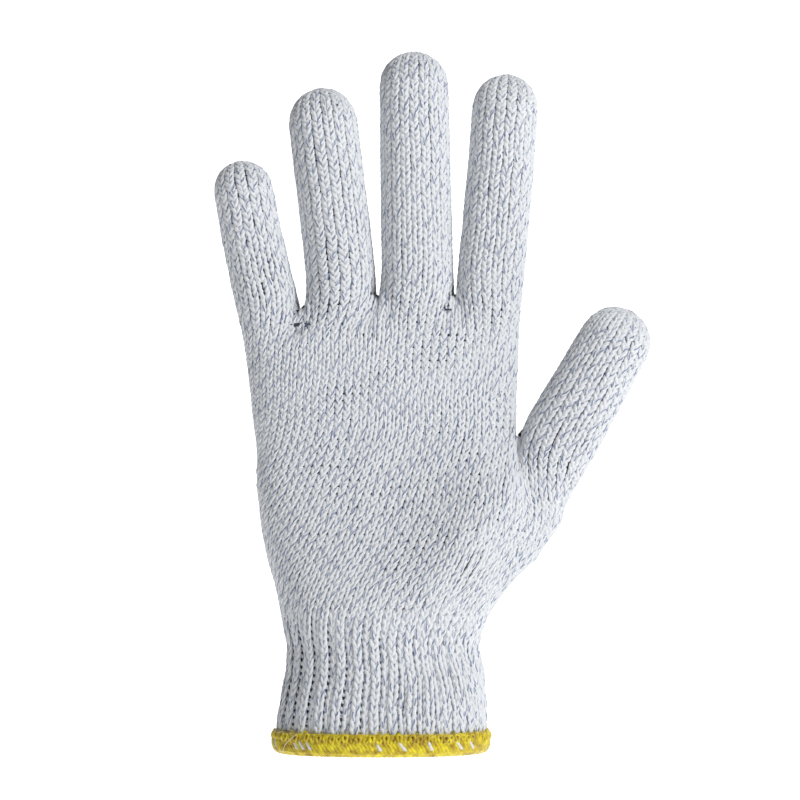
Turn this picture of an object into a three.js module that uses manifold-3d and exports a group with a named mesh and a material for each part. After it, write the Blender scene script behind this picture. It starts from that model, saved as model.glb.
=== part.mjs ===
// A knitted glove liner for the right hand, palm towards -Y, fingers up +Z, thumb towards +X.
// It keeps the form it has on a hand: thin knitted walls, open at the wrist, hollow to each fingertip.
// The origin is the centre of the open mouth, in the plane of the hem's lower edge.
import * as THREE from "three";
import { mergeVertices } from "three/addons/utils/BufferGeometryUtils.js";
import Module from "manifold-3d";

// Driving dimensions, in millimetres
const KNIT_WALL = 1.8; // thickness of the plain knitting
const PIECE_GAP = 0.3; // clearance where two pieces meet
const FINGER_LENGTH = 84; // middle finger, from its root to its tip
const FINGER_WIDTH = 24.4; // middle finger, across its root
const FINGER_DEPTH = 21.5; // middle finger, front to back
const FINGER_CURL = 5; // how far a fingertip comes forward of its root
const WEB_WIDTH = 2; // cloth between the roots of little and ring finger
const THUMB_LENGTH = 56; // from the thumb's crotch line to its tip
const THUMB_WIDTH = 26.6;
const THUMB_DEPTH = 23;
const THUMB_LEAN = 29.5; // degrees from the hand's long axis
const THUMB_ROOT_FORWARD = 4; // the thumb's root stands this far in front of the palm's middle
const THUMB_TIP_FORWARD = 9; // and its tip this far
const PALM_LENGTH = 106; // from the rib cuff to the roots of the fingers
const PALM_DEPTH = 30; // front to back
const THENAR_RISE = 9; // the mound at the thumb's base
const THENAR_SPREAD = 17; // how far the mound reaches to each side
const CUFF_LENGTH = 48.6; // from the mouth to the palm, hem included
const HEEL_WIDTH = 71.6; // where the palm meets the cuff
const HEEL_DEPTH = 46;
const WRIST_WIDTH = 65.2; // the cuff's narrowest place
const WRIST_DEPTH = 44;
const MOUTH_WIDTH = 71.8; // the cuff just above the hem
const MOUTH_DEPTH = 50;
const RIB_COUNT = 30;
const RIB_RELIEF = 0.9; // height of a rib over the groove beside it
const HEM_HEIGHT = 7.6;
const HEM_THICKNESS = 3.8;
const HEM_ROUND = 1.2; // how far the band's lower edge is rounded over
const HEM_TOP_ROUND = 0.72; // and its upper edge

// The rib cuff, from the mouth up. rise is a share of CUFF_LENGTH. flare and heel say how far the
// section has gone from the wrist's size to the mouth's and to the heel's. shift is a share of
// WRIST_WIDTH, ribs of RIB_RELIEF.
const CUFF_ROWS = [
  { rise: 0.0, flare: 1.0, heel: 0, shift: 0.0, ribs: 0.6 },
  { rise: 0.22, flare: 0.95, heel: 0, shift: 0.007, ribs: 1.0 },
  { rise: 0.38, flare: 0.69, heel: 0, shift: 0.013, ribs: 1.0 },
  { rise: 0.54, flare: 0.34, heel: 0, shift: 0.02, ribs: 1.0 },
  { rise: 0.74, flare: 0.0, heel: 0, shift: 0.011, ribs: 1.0 },
  { rise: 0.9, flare: 0.0, heel: 0.45, shift: 0.009, ribs: 0.7 },
  { rise: 1.0, flare: 0.0, heel: 1.0, shift: 0.016, ribs: 0.35 },
];

// The palm, from the cuff up. rise is a share of PALM_LENGTH. left and right are shares of the
// width over the four finger roots, front and back of PALM_DEPTH. heel says how much of the
// section is still the heel's. mound is a share of THENAR_RISE, and mound_at of the root width.
// The row with crotch stands at the height of the thumb's crotch.
const PALM_ROWS = [
  { rise: 0.0, left: 0.37, right: 0.4, front: 0.73, back: 0.73, heel: 1.0, mound: 0.1, mound_at: 0.19 },
  { rise: 0.06, left: 0.376, right: 0.462, front: 0.72, back: 0.71, heel: 0.3, mound: 0.4, mound_at: 0.23 },
  { rise: 0.17, left: 0.408, right: 0.556, front: 0.65, back: 0.65, heel: 0, mound: 0.85, mound_at: 0.31 },
  { rise: 0.285, left: 0.432, right: 0.65, front: 0.57, back: 0.59, heel: 0, mound: 1.0, mound_at: 0.36 },
  { rise: 0.4, left: 0.443, right: 0.652, front: 0.49, back: 0.55, heel: 0, mound: 0.75, mound_at: 0.4 },
  { rise: 0.49, left: 0.449, right: 0.56, front: 0.44, back: 0.53, heel: 0, mound: 0.4, mound_at: 0.42 },
  {
    rise: 0.56, left: 0.454, right: 0.478, front: 0.42, back: 0.52, heel: 0, mound: 0.12, mound_at: 0.43,
    crotch: true,
  },
  { rise: 0.68, left: 0.463, right: 0.484, front: 0.41, back: 0.49, heel: 0, mound: 0, mound_at: 0.43 },
  { rise: 0.83, left: 0.483, right: 0.49, front: 0.42, back: 0.45, heel: 0, mound: 0, mound_at: 0.43 },
  { rise: 0.92, left: 0.494, right: 0.495, front: 0.39, back: 0.41, heel: 0, mound: 0, mound_at: 0.43 },
  { rise: 0.965, left: 0.485, right: 0.485, front: 0.27, back: 0.29, heel: 0, mound: 0, mound_at: 0.43 },
];

// The fingers, from the little finger on. web is the space on the finger's right as a share of
// WEB_WIDTH. width is a share of FINGER_WIDTH and FINGER_DEPTH, length and bow of FINGER_LENGTH,
// and drop, which lowers a root, of FINGER_WIDTH. lean is in degrees towards the thumb.
const FINGER_ROWS = [
  {
    name: "little_finger", width: 0.88, tip: 0.93, length: 0.664,
    lean: -11.4, bow: -0.01, drop: 0.33, web: 1,
  },
  {
    name: "ring_finger", width: 0.963, tip: 0.99, length: 0.862,
    lean: -6.6, bow: 0.002, drop: 0.02, web: 0.75,
  },
  {
    name: "middle_finger", width: 1, tip: 0.955, length: 1,
    lean: -1.1, bow: 0, drop: 0, web: 0.2,
  },
  {
    name: "index_finger", width: 0.934, tip: 0.975, length: 0.915,
    lean: 4.8, bow: 0.006, drop: 0.02, web: 0,
  },
];

const THUMB_TIP = 0.91; // the thumb's width at its tip, as a share of its root's

// A digit's loft starts inside the palm: so far below its root, and so wide there, as shares of
// its width.
const FINGER_SINK = { depth: 0.8, width: 0.86 };
const THUMB_SINK = { depth: 1.1, width: 0.92 };

const SIDES = 24; // facets round a digit
const PALM_SIDES = 40;
const RIB_FACETS = 4; // facets over one rib and groove
const DOME_STEPS = 4; // rings over a rounded tip
const DOME_CAP = 0.35; // the flat left at the pole of a tip, as a share of a step
const SHAFT_STATIONS = [0, 0.35, 0.7, 1]; // rings from a digit's root to where its tip rounds
const SECTION_POWER = 2.3; // 2 is an ellipse, more is squarer

const KNIT_COLOUR = 0xcfd3d8;
const HEM_COLOUR = 0xd2c21e;

const wasm = await Module();
wasm.setup();

const UP = new THREE.Vector3(0, 0, 1);
const BACK = new THREE.Vector3(0, 1, 0);
const RIGHT = new THREE.Vector3(1, 0, 0);
const radians = THREE.MathUtils.degToRad;
const mix = THREE.MathUtils.lerp;

// One ring of points, counterclockwise seen from the end that the loft goes towards.
function ring(centre, across, along, halfAcross, halfFront, halfBack, sides) {
  const through = new THREE.Vector3().crossVectors(along, across).normalize();
  const points = [];
  for (let i = 0; i < sides; i += 1) {
    const angle = (i / sides) * Math.PI * 2;
    const c = Math.cos(angle);
    const s = Math.sin(angle);
    const x = Math.sign(c) * Math.abs(c) ** (2 / SECTION_POWER) * halfAcross;
    const half = s < 0 ? halfFront : halfBack;
    const y = Math.sign(s) * Math.abs(s) ** (2 / SECTION_POWER) * half;
    points.push(centre.clone().addScaledVector(across, x).addScaledVector(through, y));
  }
  return points;
}

// A closed solid through a row of rings, with a flat end or an apex at each end.
function loft(rings) {
  const positions = [];
  const corner = (p) => positions.push(p.x, p.y, p.z);
  const face = (a, b, c) => [a, b, c].forEach(corner);
  const middle = (points) => {
    const sum = new THREE.Vector3();
    points.forEach((p) => sum.add(p));
    return sum.divideScalar(points.length);
  };
  const first = rings[0];
  const last = rings[rings.length - 1];
  const low = middle(first);
  const high = middle(last);
  const sides = first.length;
  for (let i = 0; i < sides; i += 1) {
    const next = (i + 1) % sides;
    face(low, first[next], first[i]);
    face(high, last[i], last[next]);
    for (let row = 0; row < rings.length - 1; row += 1) {
      const a = rings[row];
      const b = rings[row + 1];
      face(a[i], a[next], b[next]);
      face(a[i], b[next], b[i]);
    }
  }
  const geometry = new THREE.BufferGeometry();
  geometry.setAttribute("position", new THREE.Float32BufferAttribute(positions, 3));
  return solid(geometry);
}

function solid(geometry) {
  const plain = geometry.clone();
  plain.deleteAttribute("normal");
  plain.deleteAttribute("uv");
  const merged = mergeVertices(plain, 1e-4);
  const mesh = new wasm.Mesh({
    numProp: 3,
    vertProperties: new Float32Array(merged.attributes.position.array),
    triVerts: new Uint32Array(merged.index.array),
  });
  return new wasm.Manifold(mesh);
}

function meshOf(name, body, colour) {
  const made = body.getMesh();
  const geometry = new THREE.BufferGeometry();
  geometry.setAttribute("position", new THREE.Float32BufferAttribute(made.vertProperties, 3));
  geometry.setIndex(new THREE.Uint32BufferAttribute(made.triVerts, 1));
  geometry.computeVertexNormals();
  const material = new THREE.MeshStandardMaterial({ color: colour, roughness: 0.95, metalness: 0 });
  const mesh = new THREE.Mesh(geometry, material);
  mesh.name = name;
  return mesh;
}

// The four finger roots, side by side with their webs, centred on the hand's axis.
const rootWidth = FINGER_ROWS.reduce(
  (sum, row) => sum + row.width * FINGER_WIDTH + row.web * WEB_WIDTH,
  0,
);
const rootHeight = CUFF_LENGTH + PALM_LENGTH;

function fingerDigits() {
  let edge = -rootWidth / 2;
  return FINGER_ROWS.map((row) => {
    const width = row.width * FINGER_WIDTH;
    const lean = radians(row.lean);
    const length = row.length * FINGER_LENGTH;
    const root = new THREE.Vector3(edge + width / 2, 0, rootHeight - row.drop * FINGER_WIDTH);
    const axis = new THREE.Vector3(Math.sin(lean), 0, Math.cos(lean));
    const side = new THREE.Vector3(Math.cos(lean), 0, -Math.sin(lean));
    const tip = root.clone().addScaledVector(axis, length).addScaledVector(BACK, -FINGER_CURL);
    const belly = root
      .clone()
      .addScaledVector(axis, length / 2)
      .addScaledVector(side, row.bow * 2 * FINGER_LENGTH);
    edge += width + row.web * WEB_WIDTH;
    return {
      name: row.name,
      curve: new THREE.QuadraticBezierCurve3(root, belly, tip),
      axis,
      width,
      depth: row.width * FINGER_DEPTH,
      tipShare: row.tip,
      sink: FINGER_SINK,
      boxSide: width / 2 + row.width * WEB_WIDTH,
    };
  });
}

// The thumb stands on a line through its crotch, square to its own axis.
function thumbDigit() {
  const lean = radians(THUMB_LEAN);
  const axis = new THREE.Vector3(Math.sin(lean), 0, Math.cos(lean));
  const side = new THREE.Vector3(Math.cos(lean), 0, -Math.sin(lean));
  const crotchRow = PALM_ROWS.find((row) => row.crotch);
  const crotch = new THREE.Vector3(
    crotchRow.right * rootWidth,
    0,
    CUFF_LENGTH + crotchRow.rise * PALM_LENGTH,
  );
  const root = crotch.clone().addScaledVector(side, THUMB_WIDTH / 2 + PIECE_GAP);
  root.y = -THUMB_ROOT_FORWARD;
  const tip = root.clone().addScaledVector(axis, THUMB_LENGTH);
  tip.y = -THUMB_TIP_FORWARD;
  const belly = root.clone().add(tip).divideScalar(2);
  return {
    name: "thumb",
    curve: new THREE.QuadraticBezierCurve3(root, belly, tip),
    axis,
    width: THUMB_WIDTH,
    depth: THUMB_DEPTH,
    tipShare: THUMB_TIP,
    sink: THUMB_SINK,
    boxSide: THUMB_WIDTH / 2 + PIECE_GAP,
  };
}

// A digit's solid, outer for inset 0 and its hollow for inset KNIT_WALL.
function digitSolid(digit, inset) {
  const halfWidth = digit.width / 2;
  const rings = [];
  const put = (centre, along, share) => {
    const across = new THREE.Vector3().crossVectors(BACK, along).normalize();
    const a = halfWidth * share - inset;
    const b = (digit.depth / 2) * share - inset;
    rings.push(ring(centre, across, along, a, b, b, SIDES));
  };
  const start = digit.curve.getPoint(0);
  const startAlong = digit.curve.getTangent(0);
  const sunk = start.clone().addScaledVector(startAlong, -digit.sink.depth * digit.width);
  put(sunk, startAlong, digit.sink.width);
  const length = digit.curve.getLength();
  const domeAt = 1 - (halfWidth * digit.tipShare) / length;
  for (const t of SHAFT_STATIONS) {
    const at = t * domeAt;
    put(digit.curve.getPointAt(at), digit.curve.getTangentAt(at), mix(1, digit.tipShare, t));
  }
  const domeCentre = digit.curve.getPointAt(domeAt);
  const domeAlong = digit.curve.getTangentAt(domeAt);
  const across = new THREE.Vector3().crossVectors(BACK, domeAlong).normalize();
  const a = halfWidth * digit.tipShare - inset;
  const b = (digit.depth / 2) * digit.tipShare - inset;
  for (let i = 1; i <= DOME_STEPS; i += 1) {
    const turn = (i / (DOME_STEPS + DOME_CAP)) * (Math.PI / 2);
    const centre = domeCentre.clone().addScaledVector(domeAlong, Math.sin(turn) * a);
    const share = Math.cos(turn);
    rings.push(ring(centre, across, domeAlong, a * share, b * share, b * share, SIDES));
  }
  return loft(rings);
}

// The space above a digit's root line, lowered by drop.
function aboveRoot(digit, drop) {
  const root = digit.curve.getPoint(0);
  const height = digit.curve.getLength() + digit.width;
  const through = (PALM_DEPTH + digit.depth + FINGER_CURL + THUMB_TIP_FORWARD) * 2;
  const box = new THREE.BoxGeometry(digit.boxSide * 2, through, height + drop);
  box.translate(0, 0, (height - drop) / 2);
  box.applyQuaternion(new THREE.Quaternion().setFromUnitVectors(UP, digit.axis));
  box.translate(root.x, root.y, root.z);
  return solid(box);
}

// The hand between cuff and fingers. Each ring is level, with the mound of the thumb on its front.
function palmSolid(inset) {
  const heelShift = CUFF_ROWS[CUFF_ROWS.length - 1].shift * WRIST_WIDTH;
  const rings = PALM_ROWS.map((row) => {
    const left = mix(row.left * rootWidth, HEEL_WIDTH / 2 - heelShift, row.heel) - inset;
    const right = mix(row.right * rootWidth, HEEL_WIDTH / 2 + heelShift, row.heel) - inset;
    const front = mix(row.front * PALM_DEPTH, HEEL_DEPTH / 2, row.heel) - inset;
    const back = mix(row.back * PALM_DEPTH, HEEL_DEPTH / 2, row.heel) - inset;
    const z = CUFF_LENGTH + row.rise * PALM_LENGTH;
    const centre = new THREE.Vector3((right - left) / 2, 0, z);
    const points = ring(centre, RIGHT, UP, (left + right) / 2, front, back, PALM_SIDES);
    points.forEach((p) => {
      const away = (p.x - row.mound_at * rootWidth) / THENAR_SPREAD;
      const facing = THREE.MathUtils.smoothstep(-p.y, 0, front);
      p.y -= row.mound * THENAR_RISE * Math.exp(-away * away) * facing;
    });
    return points;
  });
  if (inset > 0) {
    rings.unshift(rings[0].map((p) => p.clone().setZ(p.z - inset)));
    rings[rings.length - 1].forEach((p) => p.setZ(p.z - inset));
  }
  return loft(rings);
}

function cuffSection(row) {
  const flare = row.flare * 0.5;
  const heel = row.heel * 0.5;
  return {
    centre: new THREE.Vector3(row.shift * WRIST_WIDTH, 0, row.rise * CUFF_LENGTH),
    halfWidth: WRIST_WIDTH / 2 + (MOUTH_WIDTH - WRIST_WIDTH) * flare + (HEEL_WIDTH - WRIST_WIDTH) * heel,
    halfDepth: WRIST_DEPTH / 2 + (MOUTH_DEPTH - WRIST_DEPTH) * flare + (HEEL_DEPTH - WRIST_DEPTH) * heel,
  };
}

// The rib cuff's outer solid has RIB_COUNT ribs, and its hollow is smooth.
function cuffSolid(inset) {
  const sides = inset > 0 ? PALM_SIDES : RIB_COUNT * RIB_FACETS;
  const rings = CUFF_ROWS.map((row) => {
    const section = cuffSection(row);
    const a = section.halfWidth - inset;
    const b = section.halfDepth - inset;
    const points = ring(section.centre, RIGHT, UP, a, b, b, sides);
    if (inset === 0) {
      points.forEach((p, i) => {
        const wave = (1 - Math.cos((i / RIB_FACETS) * Math.PI * 2)) / 2;
        const outward = p.clone().sub(section.centre).normalize();
        p.addScaledVector(outward, -wave * row.ribs * RIB_RELIEF);
      });
    }
    return points;
  });
  return loft(rings);
}

// The overlocked hem wraps the cuff's lower edge: a rounded band, thicker than the knitting.
function hemSolid() {
  const section = cuffSection(CUFF_ROWS[0]);
  const over = (HEM_THICKNESS - KNIT_WALL) / 2;
  const steps = [
    { z: 0, rounded: HEM_ROUND },
    { z: HEM_ROUND, rounded: 0 },
    { z: HEM_HEIGHT - HEM_ROUND, rounded: 0 },
    { z: HEM_HEIGHT, rounded: HEM_TOP_ROUND },
  ];
  const rings = (grow, way) =>
    steps.map((step) => {
      const centre = section.centre.clone().setZ(step.z);
      const a = section.halfWidth + grow - step.rounded * way;
      const b = section.halfDepth + grow - step.rounded * way;
      return ring(centre, RIGHT, UP, a, b, b, PALM_SIDES);
    });
  const outer = loft(rings(over, 1));
  const hollow = rings(-KNIT_WALL - over, -1);
  hollow.unshift(hollow[0].map((p) => p.clone().setZ(-HEM_HEIGHT)));
  hollow.push(hollow[hollow.length - 1].map((p) => p.clone().setZ(HEM_HEIGHT * 2)));
  return outer.subtract(loft(hollow));
}

// Everything between two levels, wide enough for the whole glove.
function levelSlab(low, high) {
  const reach = (rootWidth + THUMB_LENGTH + FINGER_LENGTH) * 2;
  const slab = new THREE.BoxGeometry(reach, reach, high - low);
  slab.translate(0, 0, (low + high) / 2);
  return solid(slab);
}

const fingers = fingerDigits();
const thumb = thumbDigit();
const digits = [...fingers, thumb];
const outers = digits.map((digit) => digitSolid(digit, 0));
const hollows = digits.map((digit) => digitSolid(digit, KNIT_WALL));
const hollow = hollows.reduce((sum, body) => sum.add(body), palmSolid(KNIT_WALL));

const glove = new THREE.Group();

digits.forEach((digit, i) => {
  const stall = outers[i].intersect(aboveRoot(digit, 0)).subtract(hollow);
  glove.add(meshOf(digit.name, stall, KNIT_COLOUR));
});

const cuffTop = CUFF_LENGTH - PIECE_GAP;
let palm = outers.reduce((sum, body) => sum.add(body), palmSolid(0));
palm = palm.subtract(hollow);
digits.forEach((digit) => {
  palm = palm.subtract(aboveRoot(digit, PIECE_GAP));
});
palm = palm.intersect(levelSlab(CUFF_LENGTH, rootHeight + FINGER_LENGTH));
glove.add(meshOf("palm", palm, KNIT_COLOUR));

const cuff = cuffSolid(0)
  .subtract(cuffSolid(KNIT_WALL))
  .intersect(levelSlab(HEM_HEIGHT + PIECE_GAP, cuffTop));
glove.add(meshOf("rib_cuff", cuff, KNIT_COLOUR));

glove.add(meshOf("hem_binding", hemSolid(), HEM_COLOUR));

export default glove;
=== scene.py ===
"""A knitted glove liner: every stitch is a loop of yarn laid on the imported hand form."""

import math

import bmesh
import bpy
import numpy as np
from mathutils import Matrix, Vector
from mathutils.bvhtree import BVHTree


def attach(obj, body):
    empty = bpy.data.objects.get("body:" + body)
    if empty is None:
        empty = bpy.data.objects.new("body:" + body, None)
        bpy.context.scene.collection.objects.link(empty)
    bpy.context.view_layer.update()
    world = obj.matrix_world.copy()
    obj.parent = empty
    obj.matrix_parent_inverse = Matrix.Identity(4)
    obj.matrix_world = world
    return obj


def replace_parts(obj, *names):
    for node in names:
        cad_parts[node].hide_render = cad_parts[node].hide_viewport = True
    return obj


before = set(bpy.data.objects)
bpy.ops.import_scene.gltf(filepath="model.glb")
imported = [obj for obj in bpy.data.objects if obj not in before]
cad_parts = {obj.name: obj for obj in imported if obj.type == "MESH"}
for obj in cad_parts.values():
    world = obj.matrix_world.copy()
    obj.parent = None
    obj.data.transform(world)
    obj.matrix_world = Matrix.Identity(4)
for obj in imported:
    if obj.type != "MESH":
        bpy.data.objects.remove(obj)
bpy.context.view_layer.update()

MM = 0.001

# What the knitting machine is set to: wales round each part, and the height of a course in mm
FINGERS = ("little_finger", "ring_finger", "middle_finger", "index_finger")
WALES = {"little_finger": 16, "ring_finger": 18, "middle_finger": 20, "index_finger": 18, "thumb": 20}
HAND_WALES = sum(WALES[name] for name in FINGERS)
DIGIT_COURSE = 2.15
PALM_COURSE = 2.25
CUFF_COURSE = 2.4
CUFF_WALES = 60

# The yarn and its loops. Lengths are in mm, the others are shares of a wale or of a course.
YARN_WIDTHS = {"digit": 1.6, "hand": 1.38, "cuff": 1.62}  # across a leg, as it lies on the hand
YARN_DEPTH = 0.95  # through the cloth
LOOP_RELIEF = 0.37  # how far a leg stands out of the cloth's middle
LEG_SPREAD = 0.265  # sideways swing of a loop
LEG_CLOSE = -0.05  # how far the two legs of a wale lean to each other; below nought they part
LOOP_REACH = 0.96  # how far a loop reaches over the next course
YARN_STEPS = 10  # steps of yarn in one stitch
YARN_SIDES = 5
CLOTH_INSET = 0.55  # the middle of the cloth lies this far under the hand form's surface
SLACK = 0.2  # how unevenly the stitches lie
SLACK_SPREAD = 0.12  # how much wider the loops swing where they are slack
SLACK_CLOSE = -0.035  # and how much more their legs part
TWIST = 22.0  # mm of yarn in one turn of its plies
BLUE_EDGE = 0.72  # how far out in the yarn the blue-grey strand lies
BLUE_GAPS = 0.62  # how much of that strand stays hidden

# The hand, in mm and degrees
LEANS = {
    "little_finger": -11.4, "ring_finger": -6.6, "middle_finger": -1.1, "index_finger": 4.8, "thumb": 29.5}
CROTCH = (45.9, 108.0)  # x and z of the thumb's crotch
CROTCH_FOLD = 1.2  # half the width of the fold in it
FOLD_WALES = 2  # wales that go into each side of the fold
THUMB_SLOPE = math.tan(math.radians(LEANS["thumb"]))
CUFF_TOP = 48.6
HEM_TOP = 7.6
HAND_TURN = 2  # wales that run off the palm's left edge above the crotch
HEEL_TURN = 13  # and above the wrist
HEEL_DEPTH_TURN = 5  # thumb wales that run off the right edge above the wrist
DARTS = (0.3, 0.7)  # places across the back of the hand where wales end
OUTLINE_POINTS = 256  # places on an outline that has been evened
DIGIT_REACH = 15.0  # from a digit's middle to a place outside it
DIGIT_HALF = 11.0  # about half a digit's width, and the height of its closed tip
TIP_RIDGE = math.radians(38)  # how far the wales spread along the ridge of a tip
SAG_AT = (19, 34)  # x and z of the soft hollow in front of the wrist
SAG_SIZE = (15, 12)  # its half width and half height
SAG_DEPTH = 4.0
GROUND_SINK = 2.0  # how far the dark sheet of painted shade behind the stitches lies under the form's surface
GROUND_INNER = 0.8  # how far its inside stands off from the form's own

# Ribs of the cuff
RIB_BROAD = 1.3  # width of a raised wale, as a share of the mean wale
RIB_SHADE = 0.12  # share of the painted shade behind the loops that the cuff's yarn gets, against the palm's
RIB_RELIEF = 0.6  # mm that raised wales stand out and the others lie in
RIB_START = 5  # courses over which the ribs come up
RIB_EASE = 0.6  # how much flatter they get towards the right of the front
CUFF_WALL = (2.1, 2.8)  # depths of the wall of painted shade behind the ribs, in mm

# The overlocked hem, in mm
HEM_PITCH = 1.35  # from one wrap of thread to the next
HEM_LOOP_PITCH = 2.3  # from one loop along its upper edge to the next
HEM_WRAPS_AT = 3.5  # height of the wraps' middle
HEM_LOOPS_AT = 5.7  # and of the loops'
HEM_HALF_HEIGHT = 3.3
HEM_HALF_DEPTH = 2.0
HEM_THREAD = 1.15
HEM_SLANT = -1.3  # of a wrap, as a share of the pitch
HEM_COURSE = 900  # number of the wraps as a course; the loops have the next one

# Thread ends, in mm
LOOSE_THREAD = 0.28  # thickness of the pale thread at the hem
KNOTS = ((0.0, 153.2, 1.8, 12), (23.0, 151.8, 1.8, 12), (-25.2, 145.3, 1.4, 4))  # x, z, size and ends

# Colours
WHITE_YARN = ("c5c9cf", "e9ebed")
BLUE_YARN = "40598c"
YARN_IN_PAINTED_SHADE = "2a2c33"  # painted shade on the yarn where it dips behind the loops
YELLOW_THREAD = ("9a7800", "e9d91a")
BARE_CLOTH = "d8d8d2"  # white cloth between the hem's wraps
# the knitting's wrong side: light bars, and painted shade in the darker bands between them
WRONG_SIDE_AND_SHADE = ("8f949c", "d2d4d8")

# The studio, in metres, and its lens in mm
SKY = 0.16  # light from all round, against white paper
CAMERA_AT = (0.0065, -1.36, 0.12)
LENS = 179


def smooth(x):
    x = np.clip(x, 0, 1)
    return x * x * (3 - 2 * x)


def unit(v):
    return v / np.maximum(np.linalg.norm(v, axis=-1, keepdims=True), 1e-9)


def tree_of(*names):
    """The hand form's own surfaces, in mm, for rays."""
    verts, faces = [], []
    for name in names:
        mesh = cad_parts[name].data
        base = len(verts)
        verts.extend(v.co / MM for v in mesh.vertices)
        faces.extend([i + base for i in p.vertices] for p in mesh.polygons)
    return BVHTree.FromPolygons(verts, faces)


def normals(rows):
    """The way out of the cloth at every place of a lattice."""
    across = np.roll(rows, -1, axis=1) - np.roll(rows, 1, axis=1)
    return unit(np.cross(across, -np.gradient(rows, axis=0)))


def cast(tree, origin, direction, reach=400.0):
    hit = tree.ray_cast(Vector(origin), Vector(direction), reach)[0]
    return None if hit is None else np.array(hit)


def near_cast(tree, origin, direction):
    """A ray that steps down where it falls between two pieces of the form."""
    for lift in (0.0, -1.0, -2.0, -3.0):
        hit = cast(tree, (origin[0], origin[1], origin[2] + lift), direction)
        if hit is not None:
            hit[2] -= lift
            return hit
    return None


def node_points(name):
    return np.array([v.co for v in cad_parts[name].data.vertices]) / MM


def arc_lengths(points):
    return np.concatenate([[0], np.cumsum(np.linalg.norm(np.diff(points, axis=0), axis=1))])


def resample(points, shares):
    """Points of a closed outline at these shares of its length."""
    closed = np.vstack([points, points[:1]])
    length = arc_lengths(closed)
    at = np.mod(shares, 1.0) * length[-1]
    return np.stack([np.interp(at, length, closed[:, i]) for i in range(3)], axis=1)


def low_pass(points, keep):
    """A closed outline with only its lowest waves kept."""
    spots = resample(points, np.arange(OUTLINE_POINTS) / OUTLINE_POINTS)
    waves = np.fft.rfft(spots, axis=0)
    waves[keep + 1:] = 0
    return np.fft.irfft(waves, OUTLINE_POINTS, axis=0)


def digit_frame(name):
    """Where a digit stands: the middle of its root, its way up, its side and its back."""
    points = node_points(name)
    lean = math.radians(LEANS[name])
    height = points @ np.array([math.sin(lean), 0.0, math.cos(lean)])
    foot = points[height < height.min() + 0.3]
    root = (foot.min(axis=0) + foot.max(axis=0)) / 2
    high = points[height > height.max() - 8]
    axis = unit((high.min(axis=0) + high.max(axis=0)) / 2 - root)
    side = unit(np.cross([0.0, 1.0, 0.0], axis))
    return points, root, axis, side, np.cross(axis, side)


def digit_lattice(name):
    """A digit's courses from its closed tip to its root. Its wales run over the tip from front to back."""
    tree = tree_of(name)
    points, root, axis, side, through = digit_frame(name)
    height = (points - root) @ axis
    total = height.max()
    wales = WALES[name]

    def outline(centre):
        found = []
        for angle in np.linspace(0, 2 * math.pi, 60, endpoint=False):
            out = -side * math.cos(angle) - through * math.sin(angle)
            hit = cast(tree, centre + out * DIGIT_REACH, -out)
            found.append(centre + out * DIGIT_HALF if hit is None else hit)
        return np.array(found)

    stations = np.linspace(1.5, total - DIGIT_HALF, 9)
    middles = []
    for along in stations:
        near = points[np.abs(height - along) < 12]
        middle = near.mean(axis=0) if len(near) > 8 else root + axis * along
        middle = middle + axis * (along - (middle - root) @ axis)
        for _ in range(2):
            ring = outline(middle)
            low, high = (ring @ side).min(), (ring @ side).max()
            near_side, far_side = (ring @ through).min(), (ring @ through).max()
            middle = middle + side * ((low + high) / 2 - middle @ side)
            middle = middle + through * ((near_side + far_side) / 2 - middle @ through)
        middles.append(middle)
    middles = np.array(middles)
    fits = [np.polyfit(stations, middles[:, i], 2) for i in range(3)]

    def middle_at(along):
        return np.array([np.polyval(fit, along) for fit in fits])

    rows = []
    half = wales // 2
    dome_at = stations[-1]
    centre = middle_at(dome_at)
    dome_courses = round(DIGIT_HALF * math.pi / 2 / DIGIT_COURSE)
    share = np.arange(half + 1) / half * 2 - 1
    for k in range(dome_courses):
        t = (k + 0.6) / dome_courses
        row = []
        for facing, order in ((-1, share[:-1]), (1, share[:0:-1])):
            for q in order:
                start = side * math.sin(q * TIP_RIDGE) + axis * math.cos(q * TIP_RIDGE)
                turn = q * math.pi / 2
                end = side * math.sin(turn) + facing * through * math.cos(turn)
                angle = math.acos(np.clip(start @ end, -1, 1))
                way = (math.sin((1 - t) * angle) * start + math.sin(t * angle) * end) / math.sin(angle)
                hit = cast(tree, centre + way * 30, -way)
                row.append(centre + way * DIGIT_HALF if hit is None else hit)
        rows.append(row)
    shaft_courses = round(dome_at / DIGIT_COURSE)
    for k in range(shaft_courses):
        along = dome_at * (1 - (k + 0.3) / shaft_courses)
        ring = low_pass(outline(middle_at(max(along, 1.2))), 4)
        lift = axis * (along - max(along, 1.2))
        start = np.argmax(-(ring @ side)) / OUTLINE_POINTS
        rows.append(resample(ring, start + np.arange(wales) / wales) + lift)
    return np.array(rows)


def sheet_outline(tree, height):
    """The hand form's outline where it meets the sheet z = height(x), from its left end along the front."""
    def pair(x):
        z = float(height(x))
        front = near_cast(tree, (x, -200, z), (0, 1, 0))
        back = near_cast(tree, (x, 200, z), (0, -1, 0))
        return None if front is None or back is None else (front, back)

    ends = []
    for step in (-1.0, 1.0):
        outside = step * 110
        while pair(outside - step) is None:
            outside -= step
        inside = outside - step
        for _ in range(14):
            middle = (inside + outside) / 2
            if pair(middle) is None:
                outside = middle
            else:
                inside = middle
        ends.append(inside)
    middle, half = (ends[0] + ends[1]) / 2, (ends[1] - ends[0]) / 2
    stations = middle - half * np.cos(np.linspace(0, math.pi, 81))
    pairs = [p for p in map(pair, stations) if p is not None]
    front = np.array([p[0] for p in pairs])
    back = np.array([p[1] for p in pairs[::-1]])
    return front, back


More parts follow.
